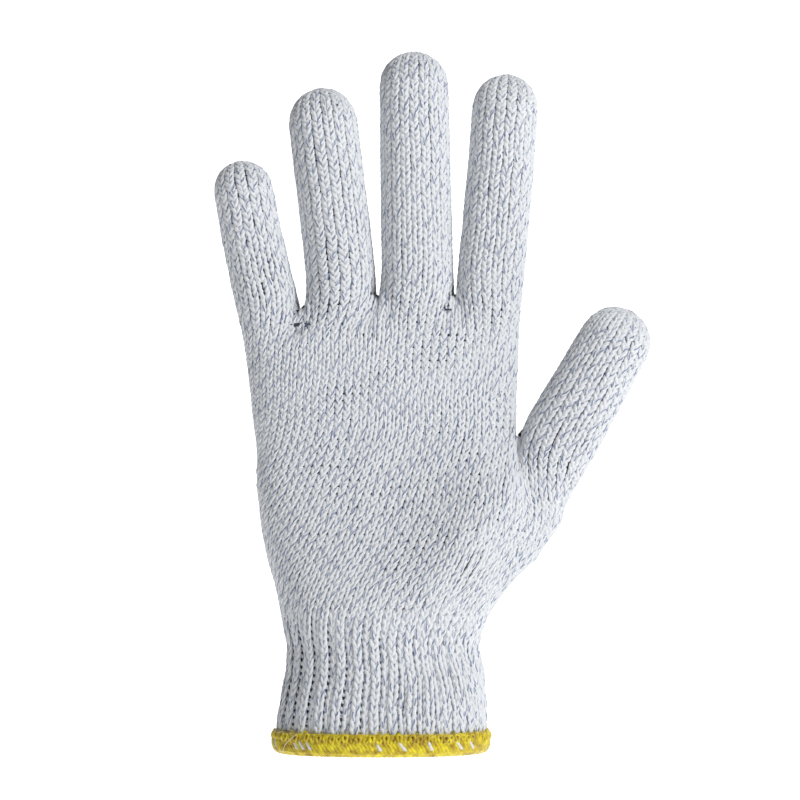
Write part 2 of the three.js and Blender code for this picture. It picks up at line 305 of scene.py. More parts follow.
def lay(front, back, first, last, widths, pins=()):
    """Edges of the wales on an outline: wales first to last lie along the front, the others along the back.

    A pin holds one wale's edge at a share of the front or of the back.
    """
    count = len(widths)
    edge = np.concatenate([[0], np.cumsum(widths)])
    total = edge[-1]

    def at(wale):
        turns, rest = divmod(wale, count)
        return turns * total + np.interp(rest, np.arange(count + 1), edge)

    a, b, c = at(first), at(last), at(first) + total
    knots = [(a, 0.0), (b, 1.0), (c, 2.0)]
    for wale, share, hold in pins:
        s = at(wale)
        fair = (s - a) / (b - a) if s <= b else 1 + (s - b) / (c - b)
        knots.append((s, fair + (share - fair) * hold))
    knots.sort()
    marks, shares = zip(*knots)
    front_length, back_length = arc_lengths(front), arc_lengths(back)
    places = []
    for wale in range(count):
        s = at(wale)
        share = np.interp(s + total if s < a else s, marks, shares)
        length, line = (front_length, front) if share <= 1 else (back_length, back)
        way = (share if share <= 1 else share - 1) * length[-1]
        places.append([np.interp(way, length, line[:, i]) for i in range(3)])
    return np.array(places)


hand_tree = tree_of("palm", "rib_cuff", *FINGERS, "thumb")
body_tree = tree_of("palm", "rib_cuff")


def even(rows, passes=3):
    """Courses with their unevenness from one to the next taken out."""
    rows = rows.copy()
    for _ in range(passes):
        rows[1:-1] = rows[:-2] * 0.25 + rows[1:-1] * 0.5 + rows[2:] * 0.25
    return rows


def top_line():
    """Heights of the palm's upper edge, from the roots of the fingers."""
    line = []
    for name in FINGERS:
        points, root, _, side, _ = digit_frame(name)
        half = np.ptp(points @ side) / 2
        for share in (-0.7, 0.7):
            place = root + side * half * share
            line.append((place[0], place[2]))
    return np.array(line)


def hand_lattice():
    """The hand above the thumb's crotch."""
    xs, zs = top_line().T
    courses = round((zs.max() - CROTCH[1]) / PALM_COURSE)
    rows = []
    for k in range(courses):
        t = (k + 0.5) / courses

        def height(x, t=t):
            top = np.interp(x, xs, zs) - 0.3
            return top + (CROTCH[1] - top) * t

        front, back = sheet_outline(body_tree, height)
        turn = HAND_TURN * t
        rows.append(lay(front, back, turn, HAND_WALES / 2 + turn, np.ones(HAND_WALES)))
    return even(np.array(rows))


def heel_lattice():
    """From the crotch to the wrist, with the thumb's wales let in. Wales of no width have ended."""
    thumb = WALES["thumb"]
    count = HAND_WALES + thumb
    crotch_wale = HAND_WALES // 2 + HAND_TURN
    courses = round((CROTCH[1] - CUFF_TOP) / PALM_COURSE)
    first = np.array([HAND_TURN, HEEL_TURN], float)
    last = np.array([crotch_wale + thumb / 2, crotch_wale + thumb / 2 - HEEL_DEPTH_TURN], float)
    back_wales = [w % count for w in range(int(last[0]) + 1, int(first[0]) + count)]
    ending = count - CUFF_WALES
    darts = [back_wales[int(len(back_wales) * share)] for share in DARTS]
    order = sorted(back_wales, key=lambda w: min(abs(w - dart) for dart in darts))[:ending]
    rows, shown = [], []
    for k in range(courses):
        t = (k + 0.5) / courses
        soft = 3 + 14 * t
        bend = CROTCH[0] - 22 * t
        fall = THUMB_SLOPE * (1 - t) ** 1.2

        def height(x, t=t, soft=soft, bend=bend, fall=fall):
            past = x - bend
            ramp = (past + math.sqrt(past * past + soft * soft)) / 2
            return CROTCH[1] + (CUFF_TOP - CROTCH[1]) * t - fall * ramp

        front, back = sheet_outline(hand_tree, height)
        widths = np.ones(count)
        for i, wale in enumerate(order):
            gone = (t * 1.04 * ending - i) / 2.5
            widths[wale] = 1 - smooth(gone)
        a, b = first[0] + (first[1] - first[0]) * t, last[0] + (last[1] - last[0]) * t
        hold = 1 - smooth(t * 2.2)
        pins = []
        for middle, line, start, way in ((crotch_wale, front, 0, 1), (crotch_wale + thumb, back, 1, -1)):
            lengths = arc_lengths(line)
            for side in (-1, 1):
                nearest = np.argmin(np.abs(line[:, 0] - CROTCH[0] - side * CROTCH_FOLD))
                wale = middle + side * way * FOLD_WALES
                pins.append((wale, start + lengths[nearest] / lengths[-1], hold))
        rows.append(lay(front, back, a, b, np.maximum(widths, 0.001), pins))
        shown.append(widths > 0.4)
    return even(np.array(rows)), np.array(shown)


def cuff_lattice():
    """The ribbed cuff, with its broad and narrow wales in turn."""
    courses = round((CUFF_TOP - HEM_TOP) / CUFF_COURSE)
    widths = np.tile([RIB_BROAD, 2 - RIB_BROAD], CUFF_WALES // 2)
    rows = []
    for k in range(courses):
        t = (k + 0.5) / courses
        z = CUFF_TOP + (HEM_TOP - CUFF_TOP) * t
        front, back = sheet_outline(body_tree, lambda x, z=z: z)
        ring = low_pass(np.vstack([front, back]), 6)
        left, right = int(np.argmin(ring[:, 0])), int(np.argmax(ring[:, 0]))
        ring = np.roll(ring, -left, axis=0)
        right = (right - left) % OUTLINE_POINTS
        fade = smooth((k + 1.5) / RIB_START)
        behind = np.vstack([ring[right:], ring[:1]])
        rows.append(lay(ring[:right + 1], behind, 0, CUFF_WALES // 2, 1 + (widths - 1) * fade))
    return np.array(rows)


def wander(points, size, seed):
    """Slow uneven drift of points, in mm, that is alike for neighbours."""
    waves = np.random.default_rng(seed)
    drift = np.zeros_like(points)
    for _ in range(14):
        way = waves.normal(size=3)
        way = way / np.linalg.norm(way) * waves.uniform(0.25, 0.95)
        drift += np.sin(points @ way + waves.uniform(0, 2 * math.pi))[:, None] * waves.normal(size=3)
    return drift * size / math.sqrt(14)


class Stitches:
    """Courses of loops, kept as lines with the facts that the stitch tree needs at each wale's edge."""

    def __init__(self, seed):
        self.chance = np.random.default_rng(seed)
        self.seed = seed
        self.places, self.edges = [], []
        self.facts = {"wale": [], "across": [], "up": [], "out": [], "slack": [], "course": [], "shade": []}

    def add(self, rows, shown=None, ribs=None, shade=1.0):
        count = rows.shape[1]
        steps = np.gradient(rows, axis=0)
        for k, row in enumerate(rows):
            keep = np.arange(count) if shown is None else np.flatnonzero(shown[k])
            place, up = row[keep], -steps[k][keep]
            across = (np.roll(place, -1, axis=0) - np.roll(place, 1, axis=0)) / 2
            out = unit(np.cross(across, up))
            inset = -CLOTH_INSET if ribs is None else ribs[k][keep][:, None] - CLOTH_INSET
            drift = wander(place, SLACK, self.seed) + self.chance.normal(size=place.shape) * SLACK * 0.4
            drift -= out * np.sum(drift * out, axis=1, keepdims=True) * 0.6
            slack = wander(place * 0.35, 1.3, self.seed + 50)[:, 0] + self.chance.normal(size=len(keep)) * 0.5
            around = np.append(np.arange(len(keep)), 0)
            base = len(self.places)
            self.places.extend((place + out * inset + drift)[around])
            self.edges.extend((base + i, base + i + 1) for i in range(len(keep)))
            self.facts["wale"].extend(range(len(around)))
            self.facts["across"].extend(across[around])
            self.facts["up"].extend(up[around])
            self.facts["out"].extend(out[around])
            self.facts["slack"].extend(slack[around])
            self.facts["shade"].extend([shade] * len(around))
            self.facts["course"].extend([k + 100 * self.seed] * len(around))


def stand(name, data):
    """A new object in the scene."""
    piece = bpy.data.objects.new(name, data)
    bpy.context.scene.collection.objects.link(piece)
    return piece


def line_mesh(name, places, edges, facts):
    """Lines as a mesh in metres, with a fact kept at every point."""
    mesh = bpy.data.meshes.new(name)
    mesh.from_pydata([tuple(p) for p in np.array(places) * MM], edges, [])
    for fact, values in facts.items():
        values = np.array(values, dtype=np.float32)
        kind, slot = ("FLOAT_VECTOR", "vector") if values.ndim == 2 else ("FLOAT", "value")
        layer = mesh.attributes.new(fact, kind, "POINT")
        layer.data.foreach_set(slot, values.ravel())
    return stand(name, mesh)


def add_node(tree, kind, settings=None, **links):
    """A node with its settings, and with its inputs set to values or linked to sockets."""
    node = tree.nodes.new(kind)
    for key, value in (settings or {}).items():
        setattr(node, key, value)
    for key, value in links.items():
        place = int(key[1:]) if key[0] == "i" and key[1:].isdigit() else key.replace("_", " ")
        socket = node.inputs[place]
        if isinstance(value, bpy.types.NodeSocket):
            tree.links.new(value, socket)
        else:
            socket.default_value = value
    return node


def new_tree(name, inputs):
    tree = bpy.data.node_groups.new(name, "GeometryNodeTree")
    tree.interface.new_socket("Geometry", in_out="INPUT", socket_type="NodeSocketGeometry")
    for label, kind in inputs.items():
        tree.interface.new_socket(label, in_out="INPUT", socket_type="NodeSocket" + kind)
    tree.interface.new_socket("Geometry", in_out="OUTPUT", socket_type="NodeSocketGeometry")
    return tree, tree.nodes.new("NodeGroupInput").outputs, tree.nodes.new("NodeGroupOutput").inputs


def short_forms(tree):
    """Short ways to add the nodes that the yarn trees share."""
    def fact(name, kind="FLOAT_VECTOR"):
        return add_node(tree, "GeometryNodeInputNamedAttribute", {"data_type": kind}, Name=name).outputs[0]

    def maths(operation, first, second=0.0, third=0.0):
        node = add_node(tree, "ShaderNodeMath", {"operation": operation}, i0=first, i1=second, i2=third)
        return node.outputs[0]

    def scaled(vector, share):
        node = add_node(tree, "ShaderNodeVectorMath", {"operation": "SCALE"}, i0=vector, Scale=share)
        return node.outputs[0]

    def added(first, second):
        node = add_node(tree, "ShaderNodeVectorMath", {"operation": "ADD"}, i0=first, i1=second)
        return node.outputs[0]

    return fact, maths, scaled, added


def fine_line(tree, given):
    """A tree's lines as curves, cut into steps."""
    curve = add_node(tree, "GeometryNodeMeshToCurve", Mesh=given["Geometry"])
    cuts = add_node(tree, "ShaderNodeMath", {"operation": "SUBTRACT"}, i0=given["Steps"], i1=1.0)
    fine = add_node(tree, "GeometryNodeSubdivideCurve", Curve=curve.outputs[0], Cuts=cuts.outputs[0])
    return fine.outputs[0]


def sweep_yarn(tree, curve, given):
    """The end of each yarn tree: an oval yarn swept along the curves, with its length and its round kept."""
    length = add_node(tree, "GeometryNodeSplineParameter").outputs["Length"]
    curve = add_node(tree, "GeometryNodeStoreNamedAttribute", {"data_type": "FLOAT"},
                     Geometry=curve, Name="along", Value=length)
    oval = add_node(tree, "GeometryNodeCurvePrimitiveCircle", Resolution=given["Sides"], Radius=1.0)
    round_place = add_node(tree, "GeometryNodeInputPosition").outputs[0]
    oval = add_node(tree, "GeometryNodeStoreNamedAttribute", {"data_type": "FLOAT_VECTOR"},
                    Geometry=oval.outputs[0], Name="round", Value=round_place)
    half_width = add_node(tree, "ShaderNodeMath", {"operation": "MULTIPLY"}, i0=given["Yarn width"], i1=0.5)
    half_depth = add_node(tree, "ShaderNodeMath", {"operation": "MULTIPLY"}, i0=given["Yarn depth"], i1=0.5)
    size = add_node(tree, "ShaderNodeCombineXYZ", X=half_depth.outputs[0], Y=half_width.outputs[0], Z=1.0)
    oval = add_node(tree, "GeometryNodeTransform", Geometry=oval.outputs[0], Scale=size.outputs[0])
    swept = add_node(tree, "GeometryNodeCurveToMesh", Curve=curve.outputs[0], Profile_Curve=oval.outputs[0])
    swept.inputs["Fill Caps"].default_value = True
    soft = add_node(tree, "GeometryNodeSetShadeSmooth", Geometry=swept.outputs[0])
    real = add_node(tree, "GeometryNodeRealizeInstances", Geometry=soft.outputs[0])
    return add_node(tree, "GeometryNodeSetMaterial", Geometry=real.outputs[0], Material=given["Material"])


def stitch_tree():
    """Loops of plain knitting along lines: each wale is one loop, and its legs lie in front."""
    tree, given, result = new_tree("knit stitches", {
        "Steps": "Int", "Leg spread": "Float", "Leg close": "Float", "Loop reach": "Float", "Relief": "Float",
        "Yarn width": "Float", "Yarn depth": "Float", "Sides": "Int", "Material": "Material"})
    fine = fine_line(tree, given)
    fact, maths, scaled, added = short_forms(tree)
    turn = maths("MULTIPLY", fact("wale", "FLOAT"), 2 * math.pi)
    double = maths("MULTIPLY", turn, 2.0)
    looseness = maths("MULTIPLY_ADD", fact("slack", "FLOAT"), SLACK_SPREAD, 1.0)
    spread = maths("MULTIPLY", given["Leg spread"], looseness)
    swing = maths("MULTIPLY", maths("SINE", double), spread)
    close = maths("MULTIPLY_ADD", fact("slack", "FLOAT"), SLACK_CLOSE, given["Leg close"])
    swing = maths("ADD", swing, maths("MULTIPLY", maths("SINE", turn), close))
    rise = maths("MULTIPLY", maths("COSINE", turn), given["Loop reach"])
    bulge = maths("MULTIPLY", maths("MULTIPLY", maths("COSINE", double), given["Relief"]), -1.0)
    sideways = scaled(fact("across"), swing)
    lengthways = scaled(fact("up"), rise)
    outwards = scaled(fact("out"), bulge)
    shift = added(added(sideways, lengthways), outwards)
    bent = add_node(tree, "GeometryNodeSetPosition", Geometry=fine, Offset=shift)
    turned = add_node(tree, "GeometryNodeSetCurveNormal", {"mode": "FREE"},
                      Curve=bent.outputs[0], Normal=fact("out"))
    done = sweep_yarn(tree, turned.outputs[0], given)
    tree.links.new(done.outputs[0], result["Geometry"])
    return tree


def make(piece, tree, values):
    """Runs a tree on a piece once and keeps its result as a plain mesh."""
    modifier = piece.modifiers.new(tree.name, "NODES")
    modifier.node_group = tree
    for item in tree.interface.items_tree:
        if item.in_out == "INPUT" and item.name in values:
            modifier[item.identifier] = values[item.name]
    ready = piece.evaluated_get(bpy.context.evaluated_depsgraph_get())
    mesh = bpy.data.meshes.new_from_object(ready)
    piece.modifiers.clear()
    piece.data = mesh
    return piece


def srgb(code):
    """A hex colour as linear RGBA."""
    parts = [int(code[i:i + 2], 16) / 255 for i in (0, 2, 4)]
    return [c / 12.92 if c <= 0.04045 else ((c + 0.055) / 1.055) ** 2.4 for c in parts] + [1.0]


def new_material(name):
    """A material's node tree, and its one shader."""
    material = bpy.data.materials.new(name)
    material.use_nodes = True
    return material, material.node_tree, material.node_tree.nodes["Principled BSDF"]


def plain_material(name, colour, roughness=0.85):
    material, _, shader = new_material(name)
    shader.inputs["Base Color"].default_value = srgb(colour)
    shader.inputs["Roughness"].default_value = roughness
    return material


def shade_maths(tree, operation, first, second=0.0, third=0.0, clamp=False):
    node = add_node(tree, "ShaderNodeMath", {"operation": operation, "use_clamp": clamp},
                    i0=first, i1=second, i2=third)
    return node.outputs[0]


def yarn_fact(tree, name, output="Fac"):
    """A fact that was kept on the yarn."""
    return add_node(tree, "ShaderNodeAttribute", {"attribute_name": name}).outputs[output]


def mixed(tree, share, low, high):
    """A colour between two others, which are hex codes or sockets."""
    low, high = (srgb(end) if isinstance(end, str) else end for end in (low, high))
    return add_node(tree, "ShaderNodeMix", {"data_type": "RGBA"}, i0=share, i6=low, i7=high).outputs[2]


def spun_yarn():
    """Spun cotton and polyester, loosely plied from white strands and a blue-grey one that shows in places.

    It is matt and a little furry: no gloss, soft sheen, and fine fibres that catch the light.
    """
    material, tree, shader = new_material("spun cotton yarn")

    def maths(*values, clamp=False):
        return shade_maths(tree, *values, clamp=clamp)

    along = yarn_fact(tree, "along")
    course = yarn_fact(tree, "course")
    place = yarn_fact(tree, "round", "Vector")
    here = add_node(tree, "ShaderNodeTexCoord").outputs["Object"]
    ways = add_node(tree, "ShaderNodeSeparateXYZ", Vector=place).outputs
    turn = maths("MULTIPLY_ADD", along, 2 * math.pi / (TWIST * MM), maths("MULTIPLY", course, 2.4))
    ply = maths("ADD", maths("MULTIPLY", ways[0], maths("COSINE", turn)),
                maths("MULTIPLY", ways[1], maths("SINE", turn)))
    strand = maths("MULTIPLY", maths("SUBTRACT", ply, BLUE_EDGE), 8.0, clamp=True)
    spot = add_node(tree, "ShaderNodeCombineXYZ", X=maths("MULTIPLY", along, 190.0), Y=course, Z=0.0)
    patch = add_node(tree, "ShaderNodeTexNoise", Vector=spot.outputs[0], Scale=1.0, Detail=1.0).outputs["Fac"]
    region = add_node(tree, "ShaderNodeTexNoise", Vector=here, Scale=55.0, Detail=2.0).outputs["Fac"]
    amount = maths("MULTIPLY_ADD", region, 0.6, patch)
    shows = maths("MULTIPLY", maths("SUBTRACT", amount, BLUE_GAPS), 6.0, clamp=True)
    blue = maths("MULTIPLY", strand, shows)
    faint = maths("MULTIPLY_ADD", strand, 0.16, maths("MULTIPLY", blue, 0.66), clamp=True)
    fibres = add_node(tree, "ShaderNodeTexNoise", Vector=here, Scale=1600.0, Detail=2.0).outputs["Fac"]
    colour = mixed(tree, faint, mixed(tree, fibres, *WHITE_YARN), BLUE_YARN)
    wale = yarn_fact(tree, "wale")
    # Painted shade: the yarn is darkened where it dips behind the loops, as if in their shadow, and less so
    # in the cuff
    dip = maths("COSINE", maths("MULTIPLY", wale, 4 * math.pi))
    behind = maths("MULTIPLY_ADD", dip, 1.9, -0.75, clamp=True)
    shade = yarn_fact(tree, "shade")
    painted_shade = mixed(tree, maths("MULTIPLY", behind, shade), colour, YARN_IN_PAINTED_SHADE)
    tree.links.new(painted_shade, shader.inputs["Base Color"])
    ridges = maths("MULTIPLY_ADD", maths("SINE", maths("MULTIPLY", turn, 3.0)), 0.3, fibres)
    bump = add_node(tree, "ShaderNodeBump", Strength=0.5, Distance=0.00012, Height=ridges)
    tree.links.new(bump.outputs[0], shader.inputs["Normal"])
    shader.inputs["Roughness"].default_value = 0.92
    shader.inputs["Specular IOR Level"].default_value = 0.2
    shader.inputs["Sheen Weight"].default_value = 0.25
    shader.inputs["Sheen Roughness"].default_value = 0.6
    return material


def overlock_thread():
    """Bulked polyester thread, yellow, with a dull shine. White cloth shows in places between its wraps."""
    material, tree, shader = new_material("overlock thread")

    def maths(*values, clamp=False):
        return shade_maths(tree, *values, clamp=clamp)

    here = add_node(tree, "ShaderNodeTexCoord").outputs["Object"]
    turn = yarn_fact(tree, "wale")
    chance = add_node(tree, "ShaderNodeTexWhiteNoise", {"noise_dimensions": "1D"},
                      W=maths("FLOOR", maths("ADD", turn, 0.25))).outputs["Value"]
    height = add_node(tree, "ShaderNodeSeparateXYZ", Vector=here).outputs["Z"]
    band = maths("MULTIPLY", maths("SUBTRACT", 0.0017, maths("ABSOLUTE", maths("SUBTRACT", height, 0.0038))),
                 4000.0, clamp=True)
    course = yarn_fact(tree, "course")
    wraps = maths("LESS_THAN", course, HEM_COURSE + 0.5)
    bare = maths("MULTIPLY", maths("MULTIPLY", maths("GREATER_THAN", chance, 0.8), band), wraps)
    mottle = add_node(tree, "ShaderNodeTexNoise", Vector=here, Scale=420.0, Detail=2.0).outputs["Fac"]
    mottle = maths("MULTIPLY_ADD", maths("SUBTRACT", mottle, 0.5), 2.4, 0.5, clamp=True)
    colour = mixed(tree, bare, mixed(tree, mottle, *YELLOW_THREAD), BARE_CLOTH)
    tree.links.new(colour, shader.inputs["Base Color"])
    shader.inputs["Roughness"].default_value = 0.5
    shader.inputs["Sheen Weight"].default_value = 0.2
    return material


def inner_cloth():
    """The wrong side of plain knitting: rows of small bars, as matt as the yarn, with painted shade in the
    darker bands between them.
    """
    material, tree, shader = new_material("inside of the knitting")
    here = add_node(tree, "ShaderNodeTexCoord").outputs["Object"]
    bars = add_node(tree, "ShaderNodeTexWave", {"bands_direction": "Z"},
                    Vector=here, Scale=1 / PALM_COURSE / 0.02, Distortion=1.2, Detail=1.0)
    shade = mixed(tree, bars.outputs["Fac"], *WRONG_SIDE_AND_SHADE)
    tree.links.new(shade, shader.inputs["Base Color"])
    bump = add_node(tree, "ShaderNodeBump", Strength=0.6, Distance=0.0005, Height=bars.outputs["Fac"])
    tree.links.new(bump.outputs[0], shader.inputs["Normal"])
    shader.inputs["Roughness"].default_value = 0.95
    return material


knit_yarn = spun_yarn()
hem_thread = overlock_thread()
inside = inner_cloth()
# Painted shade: dark sheets under the stitches and the ribs that darken the gaps between them
shadow = plain_material("painted shade between the stitches", "3c4048", 1.0)
rib_shadow = plain_material("painted shade between the ribs", "7a808a", 1.0)

stitches = stitch_tree()


def knit(name, rows, width, seed, shown=None, ribs=None):
    """Knits a lattice, with yarn of this width."""
    cloth = Stitches(seed)
    # the cuff's yarn gets only a little of the painted shade behind the loops
    cloth.add(rows, shown, ribs, 1.0 if ribs is None else RIB_SHADE)
    for fact in ("across", "up"):
        cloth.facts[fact] = np.array(cloth.facts[fact]) * MM
    piece = line_mesh(name, cloth.places, cloth.edges, cloth.facts)
    make(piece, stitches, {
        "Steps": YARN_STEPS, "Leg spread": LEG_SPREAD, "Leg close": LEG_CLOSE, "Loop reach": LOOP_REACH,
        "Relief": LOOP_RELIEF * MM, "Yarn width": width * MM, "Yarn depth": YARN_DEPTH * MM,
        "Sides": YARN_SIDES, "Material": knit_yarn})
    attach(piece, "root")
    return piece


def ground(name):
    """The cloth behind the stitches: a copy of a solid, with its faces sunk under the yarn. Its outer faces
    are painted shade.
    """
    mesh = bpy.data.meshes.new(name)
    form = bmesh.new()
    form.from_mesh(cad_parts[name.removesuffix("_ground")].data)
    bmesh.ops.remove_doubles(form, verts=form.verts, dist=1e-6)
    form.normal_update()
    tree = BVHTree.FromBMesh(form)
    spots = np.array([vert.co for vert in form.verts])
    outer = set()
    for vert in form.verts:
        hit = tree.ray_cast(vert.co + vert.normal * 1e-4, vert.normal, 0.2)[0]
        near = spots[(abs(spots[:, 2] - vert.co.z) < 0.008) & (abs(spots[:, 0] - vert.co.x) < 0.015)]
        middle = (near[:, 1].min() + near[:, 1].max()) / 2
        facing_in = vert.normal.y * math.copysign(1, vert.co.y - middle) < -0.35
        if hit is None and not facing_in:
            outer.add(vert)
    for face in form.faces:
        face.material_index = 0 if all(v in outer for v in face.verts) else 1
        face.smooth = True
    for vert in form.verts:
        vert.co += vert.normal * (-GROUND_SINK if vert in outer else GROUND_INNER) * MM
    form.to_mesh(mesh)
    form.free()
    # outer faces painted shade, inner faces the knitting's wrong side
    mesh.materials.append(shadow)
    mesh.materials.append(inside)
    piece = stand(name, mesh)
    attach(piece, "root")
    return piece


def join(upper, upper_wales, lower, lower_wales, reach=5, passes=14):
    """Lets the wales of two lattices run into each other over the last and first courses."""
    near = np.vstack([upper[-reach:, upper_wales], lower[:reach, lower_wales]])
    near = even(near, passes)
    upper[-reach:, upper_wales] = near[:reach]
    lower[:reach, lower_wales] = near[reach:]


def sag(rows):
    """The soft hollow in front of the wrist, under the ball of the thumb."""
    x, y, z = rows[..., 0], rows[..., 1], rows[..., 2]
    near = np.exp(-((x - SAG_AT[0]) / SAG_SIZE[0]) ** 2 - ((z - SAG_AT[1]) / SAG_SIZE[1]) ** 2)
    depth = SAG_DEPTH * near * smooth((-y - 2) / 12)
    rows -= normals(rows) * depth[..., None]


digit_rows = {digit: digit_lattice(digit) for digit in FINGERS + ("thumb",)}
hand_rows = hand_lattice()
heel_rows, heel_shown = heel_lattice()
cuff_rows = cuff_lattice()

front_wale = 0
for finger in FINGERS:
    half = WALES[finger] // 2
    in_front = np.arange(front_wale, front_wale + half)
    behind = np.arange(HAND_WALES - front_wale - half, HAND_WALES - front_wale)
    join(digit_rows[finger], np.arange(2 * half), hand_rows, np.concatenate([in_front, behind]))
    front_wale += half
crotch_wale = HAND_WALES // 2 + HAND_TURN
below_hand = np.arange(HAND_WALES)
below_hand = np.where(below_hand < crotch_wale, below_hand, below_hand + WALES["thumb"])
join(hand_rows, np.arange(HAND_WALES), heel_rows, below_hand, 6, 30)
join(digit_rows["thumb"], np.arange(WALES["thumb"]), heel_rows, crotch_wale + np.arange(WALES["thumb"]))
at_wrist = np.flatnonzero(np.roll(heel_shown[-1], -HEEL_TURN))
above_cuff = (at_wrist + HEEL_TURN) % len(heel_shown[-1])
join(heel_rows, above_cuff, cuff_rows, np.arange(CUFF_WALES))
sag(heel_rows)
sag(cuff_rows)

for seed, digit in enumerate(digit_rows):
    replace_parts(knit(digit + "_knit", digit_rows[digit], YARN_WIDTHS["digit"], seed), digit)
    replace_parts(ground(digit + "_ground"), digit)

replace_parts(knit("hand_knit", hand_rows, YARN_WIDTHS["hand"], 6), "palm")
half = len(heel_rows) // 2
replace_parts(knit("thenar_knit", heel_rows[:half + 1], YARN_WIDTHS["hand"], 7, heel_shown), "palm")
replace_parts(knit("heel_knit", heel_rows[half + 1:], YARN_WIDTHS["hand"], 8, heel_shown[half + 1:]), "palm")
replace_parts(ground("palm_ground"), "palm")

relief = np.tile([RIB_RELIEF, -RIB_RELIEF], CUFF_WALES // 2)
fades = smooth((np.arange(len(cuff_rows)) + 1.5) / RIB_START)
stretch = 1 - RIB_EASE * smooth((cuff_rows[..., 0] + 5) / 30) * (cuff_rows[..., 1] < 0)
ribs = fades[:, None] * relief[None, :] * stretch
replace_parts(knit("cuff_knit", cuff_rows, YARN_WIDTHS["cuff"], 9, None, ribs), "rib_cuff")


def wall(name, rows, outer, inner):
    """A thin closed wall between two depths under the courses of a lattice."""
    out = normals(rows)
    count, size = rows.shape[:2]
    verts = np.vstack([(rows - out * outer).reshape(-1, 3), (rows - out * inner).reshape(-1, 3)])
    faces, back = [], count * size
    for j in range(size):
        n = (j + 1) % size
        for k in range(count - 1):
            a, b, c, d = k * size + j, (k + 1) * size + j, (k + 1) * size + n, k * size + n
            faces.append((a, b, c, d))
            faces.append((back + d, back + c, back + b, back + a))
        low = (count - 1) * size
        faces.append((back + j, j, n, back + n))
        faces.append((low + j, back + low + j, back + low + n, low + n))
    mesh = bpy.data.meshes.new(name)
    mesh.from_pydata([tuple(v) for v in verts * MM], [], faces)
    # outer faces painted shade, inner faces the knitting's wrong side
    mesh.materials.append(rib_shadow)
    mesh.materials.append(inside)
    for face in mesh.polygons:
        face.use_smooth = True
        face.material_index = int(min(face.vertices) >= back)
    piece = stand(name, mesh)
    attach(piece, "root")
    return piece


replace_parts(wall("cuff_ground", cuff_rows, *CUFF_WALL), "rib_cuff")


def wrap_tree():
    """Thread wound over the hem's edge, one turn for each wale of the line."""
    tree, given, result = new_tree("overlock wraps", {
        "Steps": "Int", "Band height": "Float", "Band depth": "Float", "Slant": "Float",
        "Yarn width": "Float", "Yarn depth": "Float", "Sides": "Int", "Material": "Material"})
    fine = fine_line(tree, given)
    fact, maths, scaled, added = short_forms(tree)
    turn = maths("MULTIPLY", fact("wale", "FLOAT"), 2 * math.pi)
    rise = scaled(fact("up"), maths("COSINE", turn))
    bulge = scaled(fact("out"), maths("SINE", turn))
    slant = maths("ADD", given["Slant"], maths("MULTIPLY", fact("slack", "FLOAT"), 0.4))
    lean = scaled(fact("across"), maths("MULTIPLY", maths("COSINE", turn), slant))
    shift = added(added(scaled(rise, given["Band height"]), scaled(bulge, given["Band depth"])), lean)
    bent = add_node(tree, "GeometryNodeSetPosition", Geometry=fine, Offset=shift)
    turned = add_node(tree, "GeometryNodeSetCurveNormal", {"mode": "FREE"},
                      Curve=bent.outputs[0], Normal=added(rise, bulge))
    done = sweep_yarn(tree, turned.outputs[0], given)
    tree.links.new(done.outputs[0], result["Geometry"])
    return tree


def hem_line(height, pitch, inset):
    """A level line round the hem, with one point for each turn of thread."""
    front, back = sheet_outline(tree_of("hem_binding"), lambda x: height)
    ring = low_pass(np.vstack([front, back]), 6)
    around = arc_lengths(np.vstack([ring, ring[:1]]))[-1]
    turns = round(around / pitch)
    places = resample(ring, np.arange(turns + 1) / turns)
    places[-1] = places[0]
    across = np.roll(places[:-1], -1, axis=0) - np.roll(places[:-1], 1, axis=0)
    across = np.vstack([across, across[:1]]) / 2
    up = np.tile([0.0, 0.0, 1.0], (turns + 1, 1))
    out = unit(np.cross(across, up))
    chance = np.random.default_rng(11).normal(size=turns + 1)
    facts = {"wale": np.arange(turns + 1), "across": across * MM, "up": up, "out": out,
             "slack": chance, "course": np.full(turns + 1, HEM_COURSE)}
    return places - out * inset, [(i, i + 1) for i in range(turns)], facts


line = line_mesh("hem_wraps", *hem_line(HEM_WRAPS_AT, HEM_PITCH, 1.9))
hem_wraps = make(line, wrap_tree(), {
    "Steps": 14, "Band height": HEM_HALF_HEIGHT * MM, "Band depth": HEM_HALF_DEPTH * MM, "Slant": HEM_SLANT,
    "Yarn width": HEM_THREAD * 1.25 * MM, "Yarn depth": HEM_THREAD * MM * 0.8, "Sides": YARN_SIDES,
    "Material": hem_thread})
places, edges, facts = hem_line(HEM_LOOPS_AT, HEM_LOOP_PITCH, -0.05)
places = places + wander(places * 3, 0.45, 31)
facts["up"] = facts["up"] * MM
facts["course"] = facts["course"] + 1
line = line_mesh("hem_loops", places, edges, facts)
hem_loops = make(line, stitches, {
    "Steps": YARN_STEPS, "Leg spread": 0.24, "Leg close": 0.0, "Loop reach": 1.35,
    "Relief": 0.35 * MM, "Yarn width": HEM_THREAD * MM, "Yarn depth": HEM_THREAD * 0.8 * MM,
    "Sides": YARN_SIDES, "Material": hem_thread})
for piece in (hem_wraps, hem_loops):
    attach(piece, "root")


def thread_tree():
    """A single thread along a line."""
    tree, given, result = new_tree("single thread", {
        "Yarn width": "Float", "Yarn depth": "Float", "Sides": "Int", "Material": "Material"})
    curve = add_node(tree, "GeometryNodeMeshToCurve", Mesh=given["Geometry"])
    done = sweep_yarn(tree, curve.outputs[0], given)
    tree.links.new(done.outputs[0], result["Geometry"])
    return tree


def on_front(x, z, lift):
    """A place on the front of the hand, this far out of it."""
    hit = cast(front_tree, (x, -200, z), (0, 1, 0))
    return None if hit is None else np.array([x, hit[1] - lift, z])


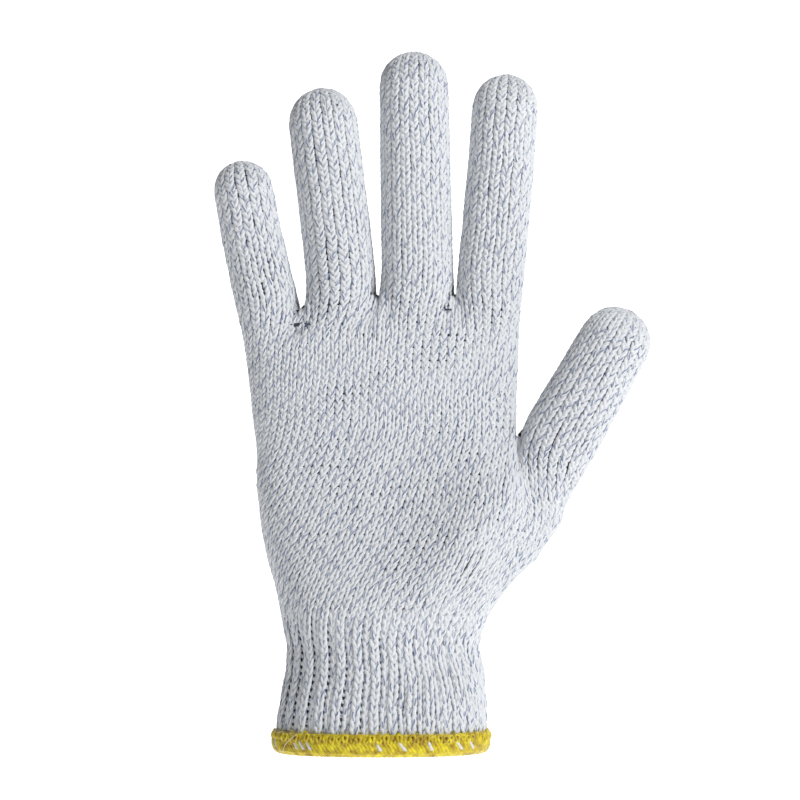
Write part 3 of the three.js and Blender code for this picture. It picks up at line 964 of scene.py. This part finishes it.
front_tree = tree_of("palm", "rib_cuff", "hem_binding", *FINGERS)
single = thread_tree()
line = []
for t in np.linspace(0, 1, 12):
    place = on_front(-28.3 - 4.6 * t - 1.3 * math.sin(3 * t), 7.4 - 6.6 * t, 1.7)
    if place is not None:
        line.append(place)
loose_end = make(line_mesh("loose_end", line, [(i, i + 1) for i in range(len(line) - 1)], {}), single, {
    "Yarn width": LOOSE_THREAD * MM, "Yarn depth": LOOSE_THREAD * MM, "Sides": YARN_SIDES,
    "Material": plain_material("pale thread", "d9cfa4", 0.6)})
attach(loose_end, "root")

# Ends of the blue-grey yarn, tied in between the fingers
chance = np.random.default_rng(5)
places, edges = [], []
for x, z, size, count in KNOTS:
    for _ in range(count):
        start, end = chance.normal(size=(2, 2)) * size * 0.55
        found = []
        for share in (0.0, 0.5, 1.0):
            way = start + (end - start) * share
            found.append(on_front(x + way[0], z + way[1], 0.5 + 0.5 * math.sin(share * math.pi)))
        if any(place is None for place in found) or abs(found[0][1] - found[2][1]) > 4:
            continue
        places.extend(found)
        edges.extend([(len(places) - 3, len(places) - 2), (len(places) - 2, len(places) - 1)])
tied_ends = make(line_mesh("tied_ends", places, edges, {}), single, {
    "Yarn width": 0.5 * MM, "Yarn depth": 0.4 * MM, "Sides": YARN_SIDES,
    "Material": plain_material("blue-grey yarn", "3a4258", 0.9)})
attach(tied_ends, "root")

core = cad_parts["hem_binding"]
for place in core.material_slots:
    place.material = hem_thread


# The studio: lit white paper, a strong light from high on the right and a weak, wider one in front


def light(name, place, size, watts, aim=(0.0, 0.0, 0.12)):
    """A round soft light that looks at the glove."""
    lamp = bpy.data.lights.new(name, "AREA")
    lamp.shape = "DISK"
    lamp.size = size
    lamp.energy = watts
    holder = stand(name, lamp)
    holder.location = place
    holder.rotation_euler = (Vector(aim) - Vector(place)).to_track_quat("-Z", "Y").to_euler()


light("key light", place=(1.1, -0.85, 1.15), size=0.4, watts=22)
light("fill light", place=(0.3, -1.6, 0.5), size=0.9, watts=2.2)

world = bpy.data.worlds.new("studio")
world.use_nodes = True
sky = world.node_tree.nodes["Background"]
sky.inputs["Color"].default_value = (1, 1, 1, 1)
seen = add_node(world.node_tree, "ShaderNodeLightPath").outputs["Is Camera Ray"]
strength = shade_maths(world.node_tree, "MULTIPLY_ADD", seen, 1 - SKY, SKY)
world.node_tree.links.new(strength, sky.inputs["Strength"])
bpy.context.scene.world = world

paper = plain_material("white paper", "f7f7f7")
glow = paper.node_tree.nodes["Principled BSDF"]
glow.inputs["Emission Color"].default_value = (1, 1, 1, 1)
glow.inputs["Emission Strength"].default_value = 0.8
sweep = bpy.data.meshes.new("paper sweep")
profile = [(-2.0, -0.4), (1.9, -0.4), (2.05, -0.36), (2.15, -0.25), (2.2, -0.1), (2.2, 2.2)]
corners = [(x, y, z) for y, z in profile for x in (-2.5, 2.5)]
sweep.from_pydata(corners, [], [(2 * i, 2 * i + 1, 2 * i + 3, 2 * i + 2) for i in range(len(profile) - 1)])
sweep.materials.append(paper)
for face in sweep.polygons:
    face.use_smooth = True
backdrop = stand("paper_sweep", sweep)

lens = bpy.data.cameras.new("camera")
lens.sensor_width = 36
lens.lens = LENS
camera = stand("camera", lens)
camera.location = CAMERA_AT
camera.rotation_euler = (math.pi / 2, 0, 0)
bpy.context.scene.camera = camera
bpy.context.scene.view_settings.view_transform = "Standard"
